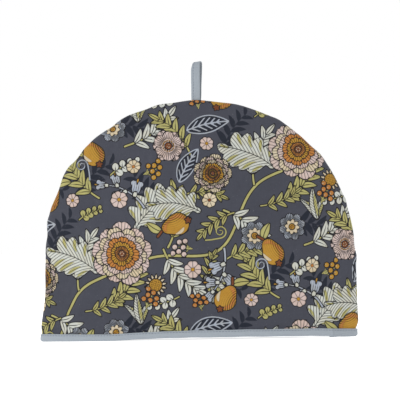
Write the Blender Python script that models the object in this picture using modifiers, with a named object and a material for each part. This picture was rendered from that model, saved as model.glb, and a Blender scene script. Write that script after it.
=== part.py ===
"""A wadded tea cosy: two half-dome panels, a bound hem and a hanging loop.

Metres, +Z up, the front faces -Y and the hem rests on z = 0. The origin is under the middle of the hem's box.

Both panels are the same half dome. A place on one is (u, climb): u runs from -1 at the left seam to 1 at the
right one, and climb from -1 at the hem through 0, where the sides begin to curve, to 1 at the crown.
"""

import math

import bmesh
import bpy

# The dome, seen from the front.
HALF_WIDTH = 0.1675
STRAIGHT_HEIGHT = 0.072
DOME_RISE = 0.1817
ROUNDNESS = 2.2  # power of the superellipse that the dome seam follows
HEM_FLARE_LEFT = 0.0045
HEM_FLARE_RIGHT = 0.0008
FLARE_HEIGHT = 0.052

# How the cosy stands open.
BOW_AT_HEM = 0.0435  # how far the middle of one hem stands from the seam plane
BOW_POWER = 2.2
LEAN = 0.3  # share of the bow that is gone at the crown's height

# The wadded cloth.
PANEL_THICKNESS = 0.006
SEAM_ALLOWANCE = 0.006  # depth of the flat edge where the two panels are sewn together
ROLL_REACH = 0.006  # how far in from the seam the wadding takes to reach its full height
ROLL_RISE = 0.0035
CREASE_DEPTH = 0.0006  # how far the sewn line lies below the rolled edges on either side
GAP = 0.0003  # between sewn pieces

# The binding and the loop are cut from one tape.
TAPE_THICKNESS = 0.001
BINDING_HEIGHT = 0.0084
FOLD_ROUNDING = 0.0015  # of the folds along the binding's lower edges
EDGE_NICK = 0.00025  # taken off the corners along its upper edges
PINCH = TAPE_THICKNESS + GAP  # taken off each face of a panel where the binding grips it
PINCH_END = 0.018
LAP_LENGTH = 0.026
LAP_THICKNESS = 0.0006
LOOP_WIDTH = 0.0097
LOOP_THICKNESS = 0.0014
LOOP_HEIGHT = 0.0405
LOOP_PLACE = -0.0022  # middle of the loop's foot, from the crown's axis
LOOP_LEAN = 0.0022  # how far right of its foot the top stands
LOOP_TWIST_FOOT = 0.0009  # how far right of the front leg the back leg lies
LOOP_TWIST_TOP = 0.0018
LOOP_TAIL = 0.006  # length caught in the seam

# Columns and rows of a panel's mesh.
COLUMNS = 40
CROWN_ROWS = 16
CROWDING = 0.9  # how strongly columns draw together towards the seams
PANEL_FOOT = 0.0015  # the raw hem's height above the floor, clear of the tape folded under it
HEM_HEIGHTS = (PANEL_FOOT, 0.005, 0.0088, 0.0125, 0.018, 0.028, 0.041, 0.056)

# Where the dome seam departs from a clean curve. Angles run from 0 at the right side to 180 at the left.
SEAM_WOBBLE_COLUMNS = ("angle", "outwards", "spread")
SEAM_WOBBLES = (
    (38.0, 0.0004, 5.0),
    (48.0, -0.0015, 6.0),
    (65.0, -0.0010, 4.0),
    (103.0, 0.0008, 5.0),
    (110.0, -0.0009, 3.0),
    (124.0, -0.0004, 5.0),
    (145.0, 0.0020, 4.5),
    (155.0, -0.0009, 4.0),
    (161.0, 0.0012, 3.5),
    (176.0, -0.0013, 9.0),
)

# Shallow hollows where the wadding has settled, as shares of the half width and of the full height.
# They fade out from DENTS_FADE to DENTS_END, as shares of the way to the dome seam.
DENTS_FADE, DENTS_END = 0.8, 0.95
DENT_COLUMNS = ("across", "up", "width", "height", "depth")
FRONT_DENTS = (
    (-0.58, 0.38, 0.22, 0.30, 0.0018),
    (-0.20, 0.62, 0.30, 0.14, 0.0015),
    (0.34, 0.30, 0.18, 0.34, 0.0018),
    (0.60, 0.52, 0.18, 0.22, 0.0014),
    (0.05, 0.16, 0.34, 0.08, 0.0012),
    (0.30, 0.80, 0.22, 0.10, 0.0012),
)
BACK_DENTS = (
    (-0.45, 0.50, 0.20, 0.26, 0.0018),
    (0.10, 0.34, 0.26, 0.20, 0.0017),
    (0.56, 0.36, 0.20, 0.30, 0.0016),
    (-0.12, 0.76, 0.30, 0.12, 0.0014),
    (-0.62, 0.22, 0.18, 0.14, 0.0010),
)

# The loop from the side: how high above the crown, and half the open space between its legs.
LOOP_COLUMNS = ("height", "half_space")
LOOP_SHAPE = (
    (-LOOP_TAIL, GAP / 2),
    (-0.5 * LOOP_TAIL, GAP / 2),
    (0.0, GAP / 2),
    (0.003, 0.0003),
    (0.008, 0.0012),
    (0.013, 0.0024),
    (0.019, 0.0034),
    (0.026, 0.0039),
    (0.032, 0.0036),
    (0.036, 0.0028),
    (0.0383, 0.0016),
    (LOOP_HEIGHT - LOOP_THICKNESS, 0.0),
)
LOOP_WIDTH_SEGMENTS = 3

HEIGHT = STRAIGHT_HEIGHT + DOME_RISE
FRONT, BACK = -1, 1
OUTER, INNER = "outer", "inner"
SMALL_STEP = 1e-4  # of u, to find which way a wall faces
WELD = 1e-6
SHARP_ANGLE = math.radians(50.0)

PRINTED_CLOTH = ("printed_cloth", (0.105, 0.112, 0.145, 1.0), 0.88)
BINDING_TAPE = ("binding_tape", (0.365, 0.420, 0.480, 1.0), 0.80)


def smoothstep(start, end, value):
    """0 before start, 1 after end, and an even S-curve between them."""
    share = min(max((value - start) / (end - start), 0.0), 1.0)
    return share * share * (3.0 - 2.0 * share)


def bell(distance, spread):
    return math.exp(-((distance / spread) ** 2))


def rows_of(columns, table):
    return [dict(zip(columns, row)) for row in table]


def seam_wobble(angle):
    """How far outwards the dome seam lies at an angle in degrees."""
    rows = rows_of(SEAM_WOBBLE_COLUMNS, SEAM_WOBBLES)
    return sum(row["outwards"] * bell(angle - row["angle"], row["spread"]) for row in rows)


def hem_half_width(side_angle, flare):
    return HALF_WIDTH + flare + seam_wobble(side_angle)


# The crown's axis stands this far to the right of the middle of the hem.
AXIS_X = 0.5 * (hem_half_width(180.0, HEM_FLARE_LEFT) - hem_half_width(0.0, HEM_FLARE_RIGHT))


def reach_of(u, climb):
    """How far out a place lies: 0 in the middle of the panel and 1 on the dome seam."""
    across = abs(u) ** ROUNDNESS
    up = max(climb, 0.0) ** ROUNDNESS
    return (across + up - across * up) ** (1.0 / ROUNDNESS)


def dome_place(u, climb, half_width, rise):
    """x and z in the clean dome, whose corners of the mesh lie on the curve itself."""
    rounding = 1.0 / ROUNDNESS
    crown = max(climb, 0.0)
    x = half_width * u * (1.0 - 0.5 * crown**ROUNDNESS) ** rounding
    z = STRAIGHT_HEIGHT * (1.0 + min(climb, 0.0))
    return x, z + rise * crown * (1.0 - 0.5 * abs(u) ** ROUNDNESS) ** rounding


def bow_at(z):
    return BOW_AT_HEM * (1.0 - LEAN * z / HEIGHT)


def dents_at(x, z, reach, dents):
    """How far the cloth lies pushed in, fading out towards the hem and the seam."""
    across, up = x / HALF_WIDTH, z / HEIGHT
    total = sum(
        row["depth"] * bell(across - row["across"], row["width"]) * bell(up - row["up"], row["height"])
        for row in rows_of(DENT_COLUMNS, dents)
    )
    above_hem = smoothstep(PINCH_END, 2.5 * PINCH_END, z)
    return total * above_hem * (1.0 - smoothstep(DENTS_FADE, DENTS_END, reach))


def uneven(x, z, reach):
    """Moves a place of the clean dome to where the sewn one has it."""
    up = max(z - STRAIGHT_HEIGHT, 0.0)
    wobble = seam_wobble(math.degrees(math.atan2(up, x))) * reach**4
    distance = math.hypot(x, up)
    if distance > 0.0:
        x, z = x * (1.0 + wobble / distance), z + up * wobble / distance
    flare = HEM_FLARE_LEFT if x < 0.0 else HEM_FLARE_RIGHT
    x *= 1.0 + flare / HALF_WIDTH * (1.0 - smoothstep(0.0, FLARE_HEIGHT, z))
    return x, z


def wall_point(u, climb, face, dents=()):
    """(x, distance from the seam plane, z) on one face of a panel that no binding grips."""
    inset = SEAM_ALLOWANCE if face == INNER else 0.0
    x, z = dome_place(u, climb, HALF_WIDTH - inset, DOME_RISE - inset)
    reach = reach_of(u, climb)
    filling = 1.0 - reach**BOW_POWER
    if face == INNER:
        distance = (bow_at(z) + ROLL_RISE - PANEL_THICKNESS) * filling
    else:
        up = max(z - STRAIGHT_HEIGHT, 0.0)
        from_seam = math.hypot(x, up) * (1.0 / reach - 1.0) if reach > 0.0 else HALF_WIDTH
        left = 1.0 - min(from_seam / ROLL_REACH, 1.0)
        distance = bow_at(z) * filling + ROLL_RISE * math.sqrt(1.0 - left * left)
        swelling = CREASE_DEPTH * math.sin(math.pi * left) * smoothstep(0.0, PINCH_END, z)
        out = swelling / max(math.hypot(x, up), ROLL_REACH)
        x, z = x * (1.0 + out), z + up * out
    distance -= dents_at(x, z, reach, dents)
    x, z = uneven(x, z, reach)
    return x, GAP / 2 + distance, z


def pinched_point(u, climb, face, pinch, dents=()):
    """A wall point moved into the wadding, square to the wall, by the depth of the pinch."""
    x, distance, z = wall_point(u, climb, face, dents)
    if pinch == 0.0:
        return x, distance, z
    before = wall_point(max(u - SMALL_STEP, -1.0), climb, face)
    after = wall_point(min(u + SMALL_STEP, 1.0), climb, face)
    along = (after[0] - before[0], after[1] - before[1])
    length = math.hypot(*along)
    normal = (-along[1] / length, along[0] / length)
    if abs(u) == 1.0 and face == OUTER:
        return x - math.copysign(pinch, u), distance, z
    if abs(u) == 1.0:
        return x + math.copysign(pinch / abs(normal[0]), u), distance, z
    inwards = pinch if face == INNER else -pinch
    return x + inwards * normal[0], distance + inwards * normal[1], z


def column_place(index):
    """u of a column; columns draw together towards the seams, where the cloth rolls over."""
    share = 2.0 * index / COLUMNS - 1.0
    if index in (0, COLUMNS):
        return share
    return (1.0 - CROWDING) * share + CROWDING * math.sin(share * math.pi / 2.0)


def row_climbs():
    """climb of each row of a panel, from the hem to the crown."""
    hem = [height / STRAIGHT_HEIGHT - 1.0 for height in HEM_HEIGHTS]
    shares = [row / CROWN_ROWS for row in range(CROWN_ROWS)]
    crown = [(1.0 - CROWDING) * share + CROWDING * math.sin(share * math.pi / 2.0) for share in shares]
    return hem + crown + [1.0]


def principled(name, colour, roughness):
    """A cloth's plain material."""
    material = bpy.data.materials.get(name) or bpy.data.materials.new(name)
    material.use_nodes = True
    shader = material.node_tree.nodes["Principled BSDF"]
    shader.inputs["Base Color"].default_value = colour
    shader.inputs["Roughness"].default_value = roughness
    shader.inputs["Metallic"].default_value = 0.0
    material.diffuse_color = colour
    return material


def collection_named(name):
    collection = bpy.data.collections.new(name)
    bpy.context.scene.collection.children.link(collection)
    return collection


def object_from(bm, name, collection, finish=None):
    """Turns a bmesh into a named object, with its faces pointing out."""
    bmesh.ops.recalc_face_normals(bm, faces=bm.faces)
    mesh = bpy.data.meshes.new(name)
    bm.to_mesh(mesh)
    bm.free()
    obj = bpy.data.objects.new(name, mesh)
    collection.objects.link(obj)
    if finish:
        mesh.materials.append(principled(*finish))
    return obj


def grid_place(vertex, columns, rows):
    """The column and row of a vertex of a flat grid that is 2 across and 2 high."""
    return round((vertex.co.x + 1.0) * columns / 2.0), round((vertex.co.y + 1.0) * rows / 2.0)


def grid_places(bm, columns, rows):
    """Makes a flat grid and gives the column and row of each of its vertices."""
    grid = bmesh.ops.create_grid(bm, x_segments=columns, y_segments=rows, size=1.0)
    return {vertex: grid_place(vertex, columns, rows) for vertex in grid["verts"]}


def make_panel(name, side, dents, collection):
    """One wadded half dome: a grid for its outer face, extruded to make its inner one."""
    climbs = row_climbs()
    rows = len(climbs) - 1
    bm = bmesh.new()
    faces = {vertex: (OUTER, place) for vertex, place in grid_places(bm, COLUMNS, rows).items()}
    extruded = bmesh.ops.extrude_face_region(bm, geom=bm.faces[:])["geom"]
    for vertex in extruded:
        if isinstance(vertex, bmesh.types.BMVert):
            faces[vertex] = (INNER, grid_place(vertex, COLUMNS, rows))
    for vertex, (face, (column, row)) in faces.items():
        height = STRAIGHT_HEIGHT * (1.0 + climbs[row])
        pinch = PINCH * (1.0 - smoothstep(BINDING_HEIGHT + GAP, PINCH_END, height))
        x, distance, z = pinched_point(column_place(column), climbs[row], face, pinch, dents)
        vertex.co = (AXIS_X + x, side * distance, z)
    panel = object_from(bm, name, collection, PRINTED_CLOTH)
    panel.data.shade_smooth()
    panel.data.set_sharp_from_angle(angle=SHARP_ANGLE)
    return panel


def binding_section():
    """The folded tape cut across: (face it lies against, depth into the wadding, height) of each corner."""
    mitre = FOLD_ROUNDING * (1.0 - math.sqrt(0.5))
    leg = [
        (TAPE_THICKNESS, TAPE_THICKNESS),
        (TAPE_THICKNESS, BINDING_HEIGHT),
        (EDGE_NICK, BINDING_HEIGHT),
        (0.0, BINDING_HEIGHT - EDGE_NICK),
        (0.0, FOLD_ROUNDING),
        (mitre, mitre),
        (FOLD_ROUNDING, 0.0),
    ]
    outer = [(OUTER, depth, height) for depth, height in leg]
    inner = [(INNER, depth, height) for depth, height in leg]
    return outer + inner[::-1]


def make_binding(name, collection):
    """The tape's section carried once round the hem of both panels."""
    section = binding_section()
    stations = [(FRONT, column) for column in range(COLUMNS)]
    stations += [(BACK, COLUMNS - column) for column in range(COLUMNS)]
    bm = bmesh.new()
    for vertex, (place, corner) in grid_places(bm, len(stations), len(section)).items():
        side, column = stations[place % len(stations)]
        face, depth, height = section[corner % len(section)]
        u = column_place(column)
        x, distance, _ = pinched_point(u, height / STRAIGHT_HEIGHT - 1.0, face, depth)
        on_lap = side == FRONT and face == OUTER and depth < TAPE_THICKNESS and abs(u) < 1.0
        if on_lap and x > HALF_WIDTH - LAP_LENGTH:
            distance += LAP_THICKNESS * smoothstep(0.0, FOLD_ROUNDING, height)
        on_seam = abs(u) == 1.0
        vertex.co = (AXIS_X + x, 0.0 if on_seam else side * distance, height)
    bmesh.ops.remove_doubles(bm, verts=bm.verts[:], dist=WELD)
    binding = object_from(bm, name, collection, BINDING_TAPE)
    binding.data.shade_smooth()
    binding.data.set_sharp_from_angle(angle=SHARP_ANGLE)
    return binding


def loop_path():
    """(y, z, share of the loop's height, leg) along the tape, from the front tail over the top to the back."""
    rows = rows_of(LOOP_COLUMNS, LOOP_SHAPE)
    half_tape = LOOP_THICKNESS / 2.0
    leg = []
    for row in rows[:-1]:
        leg.append((row["half_space"] + half_tape, row["height"], max(row["height"], 0.0) / LOOP_HEIGHT))
    top = rows[-1]["height"] + half_tape
    front = [(-y, z, share, FRONT) for y, z, share in leg]
    back = [(y, z, share, BACK) for y, z, share in leg[::-1]]
    return front + [(0.0, top, 1.0, 0)] + back


def make_loop(name, collection):
    """A strip laid along the loop's path, then thickened to a tape."""
    path = loop_path()
    bm = bmesh.new()
    for vertex, (column, row) in grid_places(bm, LOOP_WIDTH_SEGMENTS, len(path) - 1).items():
        y, z, share, leg = path[row]
        across = (column / LOOP_WIDTH_SEGMENTS - 0.5) * LOOP_WIDTH
        twist = LOOP_TWIST_FOOT + (LOOP_TWIST_TOP - LOOP_TWIST_FOOT) * share
        x = AXIS_X + LOOP_PLACE + LOOP_LEAN * share + 0.5 * (leg + 1) * twist
        vertex.co = (x + across, y, HEIGHT + z)
    loop = object_from(bm, name, collection, BINDING_TAPE)
    tape = loop.modifiers.new("tape", "SOLIDIFY")
    tape.thickness = LOOP_THICKNESS
    tape.offset = 0.0
    tape.use_even_offset = True
    loop.data.shade_smooth()
    loop.data.set_sharp_from_angle(angle=SHARP_ANGLE)
    return loop


def cut_loop_pocket(panels, collection):
    """Opens the seam at the crown just wide enough for the loop's two tails."""
    width = LOOP_WIDTH + LOOP_TWIST_FOOT + 2.0 * GAP
    depth = 2.0 * (LOOP_THICKNESS + 1.5 * GAP)
    bottom = HEIGHT - LOOP_TAIL - GAP
    top = HEIGHT + LOOP_TAIL
    bm = bmesh.new()
    bmesh.ops.create_cube(bm, size=1.0)
    bmesh.ops.scale(bm, vec=(width, depth, top - bottom), verts=bm.verts)
    cutter = object_from(bm, "loop_pocket", collection)
    cutter.location = (AXIS_X + LOOP_PLACE + 0.5 * LOOP_TWIST_FOOT, 0.0, 0.5 * (bottom + top))
    cutter.hide_render = True
    cutter.display_type = "WIRE"
    for panel in panels:
        pocket = panel.modifiers.new("loop pocket", "BOOLEAN")
        pocket.operation = "DIFFERENCE"
        pocket.solver = "EXACT"
        pocket.object = cutter


def main():
    for obj in list(bpy.data.objects):
        bpy.data.objects.remove(obj, do_unlink=True)
    parts = collection_named("tea_cosy")
    cutters = collection_named("cutters")
    front = make_panel("front_panel", FRONT, FRONT_DENTS, parts)
    back = make_panel("back_panel", BACK, BACK_DENTS, parts)
    make_binding("hem_binding", parts)
    make_loop("hanging_loop", parts)
    cut_loop_pocket((front, back), cutters)


main()
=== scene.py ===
import bpy
import numpy as np
from mathutils import Matrix, Vector


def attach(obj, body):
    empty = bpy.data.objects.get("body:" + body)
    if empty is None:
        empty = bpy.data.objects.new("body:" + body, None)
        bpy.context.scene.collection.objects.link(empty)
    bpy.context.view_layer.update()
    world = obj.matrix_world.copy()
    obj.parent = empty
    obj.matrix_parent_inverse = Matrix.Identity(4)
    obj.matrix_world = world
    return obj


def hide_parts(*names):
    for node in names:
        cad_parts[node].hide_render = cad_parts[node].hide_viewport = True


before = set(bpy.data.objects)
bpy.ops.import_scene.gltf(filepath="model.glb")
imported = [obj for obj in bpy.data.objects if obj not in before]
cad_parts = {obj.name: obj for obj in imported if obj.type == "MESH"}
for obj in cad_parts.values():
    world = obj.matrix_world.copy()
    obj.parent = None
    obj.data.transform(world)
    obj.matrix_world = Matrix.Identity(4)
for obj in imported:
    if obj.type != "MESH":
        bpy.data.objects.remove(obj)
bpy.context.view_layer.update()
print("frame loaded:", ", ".join(sorted(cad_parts)))

# The tea cosy is two wadded, printed half domes, a tape folded over their hem and a loop of the same tape.
# Metres unless a name or note says millimetres. A place on a panel is (u, climb): u is -1 at the left seam
# and 1 at the right one, climb is -1 at the hem, 0 where the sides begin to curve and 1 at the crown.


def smoothStep(start, end, value):
    # 0 up to the start and 1 from the end, eased between them as 3 t squared less 2 t cubed
    t = np.clip((value - start) / (end - start), 0.0, 1.0)
    return t * t * (3.0 - 2.0 * t)


def bell(distance, spread):
    # 1 in the middle and dying away: e to the power of less the square of distance over spread
    return np.exp(-((distance / spread) ** 2))


def wave(value, length, shift=0.0):
    # a sine wave of that length
    return np.sin(2 * np.pi * value / length + shift)


def tone(red, green, blue):
    # a colour as a paint chart gives it, 0 to 255, made linear for the shaders
    c = np.array([red, green, blue]) / 255.0
    linear = np.where(c <= 0.04045, c / 12.92, ((c + 0.055) / 1.055) ** 2.4)
    return (*[float(v) for v in linear], 1.0)


def newPiece(name, points, quads, triangles=None, finish=(), faceFinish=None, uv=None):
    # puts whole arrays of points and faces into a mesh object at the origin
    triangles = np.zeros((0, 3), int) if triangles is None else triangles
    corners = np.concatenate([quads.ravel(), triangles.ravel()]).astype(np.int32)
    sizes = np.concatenate([np.full(len(quads), 4), np.full(len(triangles), 3)])
    mesh = bpy.data.meshes.new(name)
    mesh.vertices.add(len(points))
    mesh.vertices.foreach_set("co", points.astype(np.float32).ravel())
    mesh.loops.add(len(corners))
    mesh.loops.foreach_set("vertex_index", corners)
    mesh.polygons.add(len(sizes))
    mesh.polygons.foreach_set("loop_start", (np.cumsum(sizes) - sizes).astype(np.int32))
    if uv is not None:
        layer = mesh.uv_layers.new(name="clothPlace")
        layer.data.foreach_set("uv", uv[corners].astype(np.float32).ravel())
    for material in finish:
        mesh.materials.append(material)
    if faceFinish is not None:
        mesh.polygons.foreach_set("material_index", faceFinish.astype(np.int32))
    mesh.update(calc_edges=True)
    mesh.shade_smooth()
    piece = bpy.data.objects.new(name, mesh)
    bpy.context.scene.collection.objects.link(piece)
    return piece


def gridQuads(rows, columns, wrapRows=False, wrapColumns=False):
    # faces of a grid of points that is stored row by row; a wrapped side joins its last line to its first
    r = np.arange(rows if wrapRows else rows - 1)[:, None]
    c = np.arange(columns if wrapColumns else columns - 1)[None, :]
    nextR, nextC = (r + 1) % rows, (c + 1) % columns
    quads = [r * columns + c, r * columns + nextC, nextR * columns + nextC, nextR * columns + c]
    return np.stack([np.broadcast_to(q, (len(r), c.shape[1])) for q in quads], -1).reshape(-1, 4)


def endCaps(rings, sides):
    # fans of triangles that close the first and the last ring of a tube
    fan = np.array([[0, k, k + 1] for k in range(1, sides - 1)])
    return np.concatenate([fan, fan[:, ::-1] + (rings - 1) * sides])


def runAlong(line):
    # how far along a line of points each one lies: the sum of the steps before it
    steps = np.linalg.norm(np.diff(line, axis=0), axis=1)
    return np.concatenate([[0.0], np.cumsum(steps)])


def addAttribute(piece, name, kind, values):
    # one value for each point, or three where the kind is FLOAT_VECTOR
    attribute = piece.data.attributes.new(name, kind, "POINT")
    reader = "vector" if kind == "FLOAT_VECTOR" else "value"
    attribute.data.foreach_set(reader, values.astype(np.float32).ravel())


# the cut: the same curves that the solids have
cut = dict(
    halfWidth=0.1675, straight=0.072, rise=0.1817, roundness=2.2,
    flareLeft=0.0062, flareRight=0.0014, flareHeight=0.060, tuckRight=0.0017, tuckHeight=0.017,
    bow=0.0435, lean=0.3,  # how far the middle of a hem stands out, and the share of that gone at the crown
    wadding=0.006, seamEdge=0.006, rollReach=0.006, rollRise=0.0035, rollTakeUp=0.0016, crease=0.0006,
    gap=0.0003, seamGap=0.00004, foot=0.0015, binding=0.0084, grip=0.0013, gripEnd=0.018,
    hollowFade=(0.8, 0.95),  # where the hollows die out, as shares of the way to the seam
)
cut["height"] = cut["straight"] + cut["rise"]

# where the dome seam wanders: angle from the right in degrees, how far outwards, spread in degrees
seamWobbles = (
    (5, 0.0009, 1.8), (9, -0.0008, 2.5), (25.5, 0.0010, 1.7), (38, 0.0004, 5), (43.5, 0.0013, 3),
    (48, -0.0008, 6), (55, -0.0003, 2), (62, 0.0009, 2.5), (77, 0.0011, 5), (91, 0.0026, 7),
    (103, 0.0020, 4), (114, 0.0016, 5), (120.5, -0.0008, 1.8), (128, 0.0010, 3.5), (132.5, 0.0008, 2),
    (140.5, 0.0016, 2.5), (144, 0.0022, 3.5), (156, 0.0013, 3.5), (161, 0.0016, 2.5), (166, -0.0008, 2),
    (176, -0.0013, 9),
)

# how the hem lifts off the table: x, and the height of its lower edge at the front and at the back
hemLift = dict(
    x=(-0.175, -0.112, -0.085, -0.058, -0.030, 0.035, 0.075, 0.120, 0.150, 0.175),
    front=(0.0, 0.0, 0.0003, 0.0018, 0.0024, 0.0023, 0.0021, 0.0019, 0.0005, 0.0),
    back=(0.0, 0.0, 0.0001, 0.0006, 0.0009, 0.0009, 0.0009, 0.0010, 0.0003, 0.0),
    rounding=0.014, fade=(0.012, 0.055),  # the cloth follows it up to these heights
)


def seamWobble(angle):
    return sum(out * bell(angle - at, spread) for at, out, spread in seamWobbles)


# the crown stands a little right of the middle of the hem, because the left side flares more
axisX = 0.5 * (cut["flareLeft"] + seamWobble(180.0) - cut["flareRight"] - seamWobble(0.0))


def liftAt(x, side):
    # the heights joined by a line, then rounded off by averaging it over a few centimetres
    heights = hemLift["front" if side < 0 else "back"]
    shifts = np.linspace(-hemLift["rounding"], hemLift["rounding"], 7)
    return sum(np.interp(x + shift, hemLift["x"], heights) for shift in shifts) / len(shifts)


def bowAt(z):
    return cut["bow"] * (1.0 - cut["lean"] * z / cut["height"])


def lensPlace(u, climb, inner=False, hollows=()):
    # a superellipse dome, x = W u (1 - c^n / 2)^(1/n) and z = zs + R c (1 - |u|^n / 2)^(1/n), bowed out by
    # a lens of height 1 - reach^n and, on the outer face, rolled over a quarter of an ellipse at the seam
    n = cut["roundness"]
    inset = cut["seamEdge"] if inner else 0.0
    c = np.maximum(climb, 0.0)
    x = (cut["halfWidth"] - inset) * u * (1.0 - 0.5 * c**n) ** (1.0 / n)
    z = cut["straight"] * (1.0 + np.minimum(climb, 0.0))
    z = z + (cut["rise"] - inset) * c * (1.0 - 0.5 * np.abs(u) ** n) ** (1.0 / n)
    reach = (np.abs(u) ** n + c**n - np.abs(u) ** n * c**n) ** (1.0 / n)
    bow = bowAt(z)
    up = np.maximum(z - cut["straight"], 0.0)
    beyond = np.hypot(x, up) * (1.0 / np.maximum(reach, 1e-4) - 1.0)
    fromSeam = np.where(reach > 1e-4, beyond, cut["halfWidth"])
    if inner:
        out = (bow + cut["rollRise"] - cut["wadding"]) * (1.0 - reach**n)
    else:
        left = 1.0 - np.minimum(fromSeam / cut["rollReach"], 1.0)
        out = bow * (1.0 - reach**n) + cut["rollRise"] * np.sqrt(1.0 - left**2)
        swell = cut["crease"] * np.sin(np.pi * left) * smoothStep(0.0, cut["gripEnd"], z)
        swell = swell / np.maximum(np.hypot(x, up), cut["rollReach"])
        x, z = x * (1.0 + swell), z + up * swell
    settled = sum(depth * bell(x / cut["halfWidth"] - a, w) * bell(z / cut["height"] - b, h)
                  for a, b, w, h, depth in hollows)
    fade = smoothStep(cut["gripEnd"], 2.5 * cut["gripEnd"], z) * (1.0 - smoothStep(*cut["hollowFade"], reach))
    out = cut["seamGap"] / 2 + out - settled * fade
    up = np.maximum(z - cut["straight"], 0.0)
    wobble = seamWobble(np.degrees(np.arctan2(up, x))) * reach**4 / np.maximum(np.hypot(x, up), 1e-6)
    x, z = x * (1.0 + wobble), z + up * wobble
    flare = np.where(x < 0.0, cut["flareLeft"], cut["flareRight"]) / cut["halfWidth"]
    x = x * (1.0 + flare * (1.0 - smoothStep(0.0, cut["flareHeight"], z)))
    tuck = cut["tuckRight"] * (1.0 - smoothStep(0.3 * cut["tuckHeight"], cut["tuckHeight"], z))
    x = x - tuck * smoothStep(0.5, 1.0, x / cut["halfWidth"])
    return x, out, z, fromSeam


def isSeam(u):
    return np.abs(u) > 0.99999


def grippedPlace(u, climb, depth, inner=False, hollows=()):
    # the wall moved into the wadding by a depth, square to the hem's line and straight along x at the seams;
    # u runs along the last axis, either way
    x, out, z, fromSeam = lensPlace(u, climb, inner, hollows)
    onward = np.sign(np.gradient(u, axis=-1))
    alongX, alongOut = onward * np.gradient(x, axis=-1), onward * np.gradient(out, axis=-1)
    length = np.maximum(np.hypot(alongX, alongOut), 1e-9)
    move = depth if inner else -depth
    x = x + move * np.where(isSeam(u), np.sign(u), -alongOut / length)
    out = out + move * np.where(isSeam(u), 0.0, alongX / length)
    return x, out, z, fromSeam


def alongBow(distance, full, bow):
    # the length of the arc out = bow t^n up to a distance: the first terms of its series
    n = cut["roundness"]
    t, slope = np.clip(np.abs(distance) / full, 0.0, 1.0), bow * n / full
    extra = slope**2 / 2 * t ** (2 * n - 1) / (2 * n - 1) - slope**4 / 8 * t ** (4 * n - 3) / (4 * n - 3)
    return distance + np.sign(distance) * full * extra


def flatPlace(x, z, fromSeam):
    # where a place lies on the flat cut: its x and z, longer by what the bow and the rolled edge take up
    bow = bowAt(z)
    up = np.maximum(z - cut["straight"], 0.0)
    left = 1.0 - np.clip(fromSeam / cut["rollReach"], 0.0, 1.0)
    rolled = cut["rollTakeUp"] * left**2 / np.maximum(np.hypot(x, up), 0.01)
    flatX = alongBow(x, cut["halfWidth"], bow)
    flatZ = np.minimum(z, cut["straight"]) + alongBow(up, cut["rise"], bow)
    return flatX + x * rolled, flatZ + up * rolled


# The print is drawn in millimetres on the flat cloth. A motif is a field: the distance to its edge, below
# zero inside. Each one covers what lies beneath, and comes back in a half drop: a tile's width further on,
# it lies half a tile higher.
tile = dict(width=192.0, height=220.0, outline=0.92, covered=0.6, farOff=4.0)
printColours = ["olive", "sage", "paleBlue", "gold", "orange", "cream", "blush", "russet"]
# the fields that each attribute of the cloth holds: the colours, their outlines, the shadows beneath them
# and two kinds of line, which are drawn where their fields cross zero
printFields = dict(
    printA=("olive", "sage", "paleBlue"), printB=("gold", "orange", "cream"),
    printC=("blush", "russet", "ink"), printD=("shadow", "line", "hatch"),
)


class Cloth:
    # the print's fields at many places of the flat cloth

    def __init__(self, x, y):
        self.x, self.y = x.ravel(), y.ravel()
        names = [name for three in printFields.values() for name in three]
        self.fields = {name: np.full(self.x.shape, tile["farOff"]) for name in names}

    def near(self, atX, atY, turn, size, reach):
        # the places within reach of a motif in any of its repeats, in the motif's own turned and sized axes
        dx, dy = self.x - atX, self.y - atY
        column = np.round(dx / tile["width"])
        dx = dx - column * tile["width"]
        dy = dy - column * 0.5 * tile["height"]
        dy = dy - np.round(dy / tile["height"]) * tile["height"]
        self.size = size
        self.where = np.flatnonzero(dx**2 + dy**2 < (reach * size) ** 2)
        x, y = turned(dx[self.where], dy[self.where], turn)
        return x / size, y / size

    def lay(self, name, how, field):
        self.fields[name][self.where] = how(self.fields[name][self.where], field)

    def tint(self, colour, field, outline=0.0):
        # a colour laid over the others, which are cut back by the outline's width
        field = field * self.size
        for name in printColours:
            self.lay(name, np.maximum, outline - field)
        self.lay(colour, np.minimum, field)

    def paint(self, colour, field, line=None, hatch=None, outline=tile["outline"]):
        # a colour in a dark outline, with the lines that are drawn on it
        self.tint(colour, field, outline)
        field = field * self.size
        self.lay("ink", np.minimum, field - outline)
        under = field < tile["covered"]
        for name, drawn in (("line", line), ("hatch", hatch)):
            drawn = tile["farOff"] if drawn is None else drawn[under] * self.size
            self.fields[name][self.where[under]] = drawn

    def shadow(self, field):
        self.lay("shadow", np.minimum, field * self.size)


def turned(x, y, degrees):
    c, s = np.cos(np.radians(degrees)), np.sin(np.radians(degrees))
    return c * x + s * y, c * y - s * x


def leafField(x, y, length, width, belly=0.45, bend=0.0, blunt=0.8):
    # distances to a leaf along x and to its bent rib: from the rib, less half the leaf's width, which is
    # a power of a half sine that is greatest at the belly
    inside = np.clip(x / length, 0.002, 0.998)
    rib = y - 4.0 * bend * inside * (1.0 - inside)
    skew = np.log(0.5) / np.log(belly)
    before, here, after = (0.5 * width * np.sin(np.pi * np.clip(inside + step, 0.0, 1.0) ** skew) ** blunt
                           for step in (-0.002, 0.0, 0.002))
    slope = (after - before) / (0.004 * length)
    side = (np.abs(rib) - here) / np.sqrt(1.0 + slope**2)
    beyond = np.maximum(-x, x - length)
    return np.where(beyond > 0.0, np.hypot(beyond, rib), side), rib


def discField(x, y, radius):
    return np.hypot(x, y) - radius


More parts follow.
